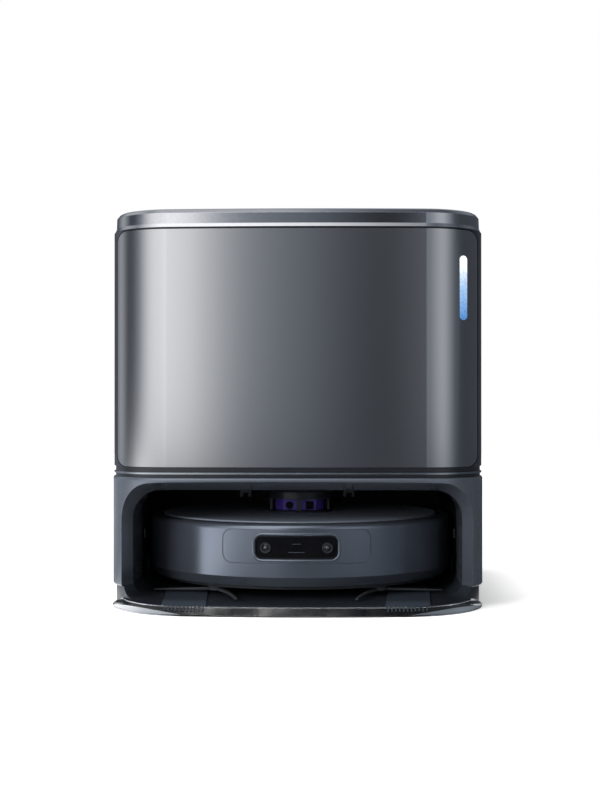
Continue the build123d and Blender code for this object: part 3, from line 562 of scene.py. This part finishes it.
def dust_bag():
    """Soft paper bag, part filled: pressurised cloth that rests flat against its collar."""
    low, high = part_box("dust_bag")
    middle = (low + high) / 2
    half = (high - low) / 2
    source = NODES["dust_bag"]
    mesh = source.data.copy()
    mesh.transform(source.matrix_world)
    bag = link(bpy.data.objects.new("soft_dust_bag", mesh))
    for vert in mesh.vertices:
        vert.co = middle + (vert.co - middle) * BAG_START
    remesh = bag.modifiers.new("even", "REMESH")
    remesh.mode = "VOXEL"
    remesh.voxel_size = BAG_VOXEL
    graph = bpy.context.evaluated_depsgraph_get()
    bag.data = bpy.data.meshes.new_from_object(bag.evaluated_get(graph))
    bag.modifiers.clear()
    start = [v.co.copy() for v in bag.data.vertices]
    points = swollen(bag)
    for vert, before, after in zip(bag.data.vertices, start, points):
        step = after - before
        vert.co = before + step * min(1.0, BAG_CAP / max(step.length, 1e-9))
        wave_up = math.sin(CREASES_UP * (vert.co.z - low.z) / half.z)
        wave_across = math.cos(CREASES_ACROSS * (vert.co.x - middle.x) / half.x)
        vert.co.y += CREASE_HEIGHT * wave_up * wave_across
        vert.co.y = min(max(vert.co.y, low.y), high.y)
    bag.data.materials.clear()
    bag.data.materials.append(MATERIALS["bag_fabric"])
    finer = bag.modifiers.new("finer", "SUBSURF")
    finer.levels = finer.render_levels = 1
    smooth(bag, angle_deg=80)
    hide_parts("dust_bag")
    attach(bag, "station")


def mop_pad(side):
    """Round microfibre pad: looped pile in rings inside a bound edge."""
    low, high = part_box(f"{side}_mop_pad")
    middle = (low + high) / 2
    radius = (high.x - low.x) / 2
    thick = high.z - low.z
    pile = []
    for i in range(PILE_RINGS):
        pile.append((PILE_OUTER - PILE_STEP * i, PILE_HIGH if i % 2 else PILE_LOW))
    rings = PAD_SIDE + PAD_SEAM + [ring for ring in pile if ring[0] > PAD_CENTRE]
    verts = []
    for share, depth in rings:
        below = depth > 0.5
        looped = below and PILE_INNER < share < PILE_OUTER
        for j in range(PAD_COLUMNS):
            turn = 2 * math.pi * j / PAD_COLUMNS
            wave = PILE_WAVE * math.sin(PILE_WAVES * turn + PILE_TWIST * share) if looped else 0.0
            down = min(1.0, max(0.0, depth + wave - PILE_CLEARANCE * below))
            x = middle.x + share * radius * math.cos(turn)
            y = middle.y + share * radius * math.sin(turn)
            verts.append((x, y, high.z - thick * down))
    faces = grid_faces(len(rings), PAD_COLUMNS)
    faces.append(tuple(range(PAD_COLUMNS)))
    faces.append(tuple((len(rings) - 1) * PAD_COLUMNS + j for j in reversed(range(PAD_COLUMNS))))
    pad = mesh_object(f"{side}_mop_pile", verts, faces, MATERIALS["mop_fabric"])
    smooth(pad, angle_deg=80)
    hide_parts(f"{side}_mop_pad")
    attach(pad, f"{side}_mop")


def camera_ray_mask(tree):
    """1 for rays that show the studio: seen directly, mirrored or through clear plastic."""
    path = tree.nodes.new("ShaderNodeLightPath")
    total = None
    for name in ("Is Camera Ray", "Is Glossy Ray", "Is Transmission Ray"):
        if total is None:
            total = path.outputs[name]
            continue
        add = tree.nodes.new("ShaderNodeMath")
        add.operation = "MAXIMUM"
        tree.links.new(total, add.inputs[0])
        tree.links.new(path.outputs[name], add.inputs[1])
        total = add.outputs["Value"]
    return total


def make_world():
    """White surroundings where they show, a softer level where they light."""
    world = bpy.data.worlds.new("studio")
    bpy.context.scene.world = world
    world.use_nodes = True
    tree = world.node_tree
    background = tree.nodes["Background"]
    background.inputs["Color"].default_value = (1, 1, 1, 1)
    level = tree.nodes.new("ShaderNodeMapRange")
    level.inputs["To Min"].default_value = WORLD_LIGHT
    level.inputs["To Max"].default_value = 1.0
    tree.links.new(camera_ray_mask(tree), level.inputs["Value"])
    tree.links.new(level.outputs["Result"], background.inputs["Strength"])


def make_floor():
    """Plain pale floor, lifted to white where it is seen."""
    mesh = bpy.data.meshes.new("floor")
    half = FLOOR_SIZE / 2
    corners = [(-half, -half, 0), (half, -half, 0), (half, half, 0), (-half, half, 0)]
    mesh.from_pydata(corners, [], [(0, 1, 2, 3)])
    floor = link(bpy.data.objects.new("floor", mesh))
    mat, tree, shader = new_material("floor")
    shader.inputs["Base Color"].default_value = (0.86, 0.86, 0.86, 1)
    shader.inputs["Roughness"].default_value = 0.9
    shader.inputs["Specular IOR Level"].default_value = 0.1
    shader.inputs["Emission Color"].default_value = (1, 1, 1, 1)
    lift = tree.nodes.new("ShaderNodeMath")
    lift.operation = "MULTIPLY"
    lift.inputs[1].default_value = FLOOR_LIFT
    tree.links.new(camera_ray_mask(tree), lift.inputs[0])
    tree.links.new(lift.outputs["Value"], shader.inputs["Emission Strength"])
    mesh.materials.append(mat)


def bearing(tree, place):
    """0 to 1 round the object, from behind over the left, the front and the right."""
    split = tree.nodes.new("ShaderNodeSeparateXYZ")
    tree.links.new(place.outputs["Object"], split.inputs["Vector"])
    front = tree.nodes.new("ShaderNodeMath")
    front.operation = "MULTIPLY"
    front.inputs[1].default_value = -1
    tree.links.new(split.outputs["Y"], front.inputs[0])
    angle = tree.nodes.new("ShaderNodeMath")
    angle.operation = "ARCTAN2"
    tree.links.new(split.outputs["X"], angle.inputs[0])
    tree.links.new(front.outputs["Value"], angle.inputs[1])
    ranger = tree.nodes.new("ShaderNodeMapRange")
    ranger.inputs["From Min"].default_value = -math.pi
    ranger.inputs["From Max"].default_value = math.pi
    tree.links.new(angle.outputs["Value"], ranger.inputs["Value"])
    return ranger.outputs["Result"]


def tone_stops(tones, brightest):
    """Stops of a colour ramp round the studio."""
    stops = []
    for deg, tone in tones:
        blue = max(0.0, 1 - tone / FULL_TONE)
        color = [tone / brightest * (1 + blue * (tint - 1)) for tint in DIM_TINT]
        stops.append(((deg + 180) / 360, color))
    return stops


def make_dome():
    """Studio walls and ceiling, seen only in reflections: bright and dark fields by bearing."""
    bm = bmesh.new()
    bmesh.ops.create_uvsphere(bm, u_segments=DOME_SEGMENTS, v_segments=DOME_SEGMENTS // 2, radius=DOME_RADIUS)
    below = [v for v in bm.verts if v.co.z < -0.01]
    bmesh.ops.delete(bm, geom=below, context="VERTS")
    apron = []
    for radius in (APRON_RADIUS, DOME_RADIUS):
        ring = bmesh.ops.create_circle(bm, segments=DOME_SEGMENTS, radius=radius)["verts"]
        bmesh.ops.translate(bm, verts=ring, vec=(0, 0, APRON_Z))
        apron.append(ring)
    inner, outer = apron
    for i in range(DOME_SEGMENTS):
        j = (i + 1) % DOME_SEGMENTS
        bm.faces.new((inner[i], inner[j], outer[j], outer[i]))
    mesh = bpy.data.meshes.new("studio_dome")
    bm.to_mesh(mesh)
    bm.free()
    dome = link(bpy.data.objects.new("studio_dome", mesh))
    mat = bpy.data.materials.new("studio_dome")
    mat.use_nodes = True
    tree = mat.node_tree
    tree.nodes.clear()
    place = tree.nodes.new("ShaderNodeTexCoord")
    around = bearing(tree, place)
    brightest = max(tone for _, tone in WALL_TONES + SKY_TONES + FLOOR_TONES)
    level = ramp(tree, around, tone_stops(WALL_TONES, brightest))
    for tones, start, full in STUDIO_FIELDS:
        mixer = tree.nodes.new("ShaderNodeMix")
        mixer.data_type = "RGBA"
        tree.links.new(axis_value(tree, "Z", start, full), mixer.inputs["Factor"])
        tree.links.new(level, mixer.inputs["A"])
        tree.links.new(ramp(tree, around, tone_stops(tones, brightest)), mixer.inputs["B"])
        level = mixer.outputs["Result"]
    glow = tree.nodes.new("ShaderNodeEmission")
    glow.inputs["Strength"].default_value = brightest
    tree.links.new(level, glow.inputs["Color"])
    output = tree.nodes.new("ShaderNodeOutputMaterial")
    tree.links.new(glow.outputs["Emission"], output.inputs["Surface"])
    mesh.materials.append(mat)
    dome.visible_camera = False
    dome.visible_diffuse = False
    dome.visible_transmission = False
    dome.visible_shadow = False


def area_light(name, at, target, size, energy):
    """Soft box aimed at a point."""
    data = bpy.data.lights.new(name, "AREA")
    data.shape = "RECTANGLE"
    data.size, data.size_y = size
    data.energy = energy
    lamp = link(bpy.data.objects.new(name, data))
    lamp.location = at
    lamp.rotation_euler = (Vector(target) - Vector(at)).to_track_quat("-Z", "Y").to_euler()
    lamp.visible_glossy = False


def soft_sun(name, at, strength, spread_deg):
    """Even light from one side, which reaches the far floor too."""
    data = bpy.data.lights.new(name, "SUN")
    data.energy = strength
    data.angle = math.radians(spread_deg)
    lamp = link(bpy.data.objects.new(name, data))
    lamp.rotation_euler = (-Vector(at)).to_track_quat("-Z", "Y").to_euler()
    lamp.visible_glossy = False


def make_lights():
    soft_sun("overhead", at=(-0.1, -0.01, 1.0), strength=2.0, spread_deg=12)
    area_light("key", at=(-1.9, -1.9, 0.85), target=(0, 0, 0.1), size=(1.2, 1.2), energy=58)
    area_light("front", at=(-0.2, -2.4, 0.45), target=(0, 0, 0.08), size=(1.4, 0.6), energy=7)
    area_light("fill", at=(1.5, -1.9, 0.7), target=(0, 0, 0.1), size=(1.2, 0.8), energy=3)


def make_camera():
    """Camera at the photograph's place and angle."""
    data = bpy.data.cameras.new("camera")
    data.sensor_width = SENSOR_MM
    data.lens = FOCAL_PX / IMAGE_HEIGHT_PX * SENSOR_MM
    camera = link(bpy.data.objects.new("camera", data))
    camera.location = CAMERA_AT
    camera.rotation_euler = (math.radians(90 + CAMERA_PITCH_DEG), 0, math.radians(CAMERA_YAW_DEG))
    bpy.context.scene.camera = camera


dress_nodes()
camera_lip()
camera_eyes()
window_marks()
dust_bag()
for side in ("left", "right"):
    mop_pad(side)
make_world()
make_floor()
make_dome()
make_lights()
make_camera()
bpy.context.scene.view_settings.view_transform = "Standard"
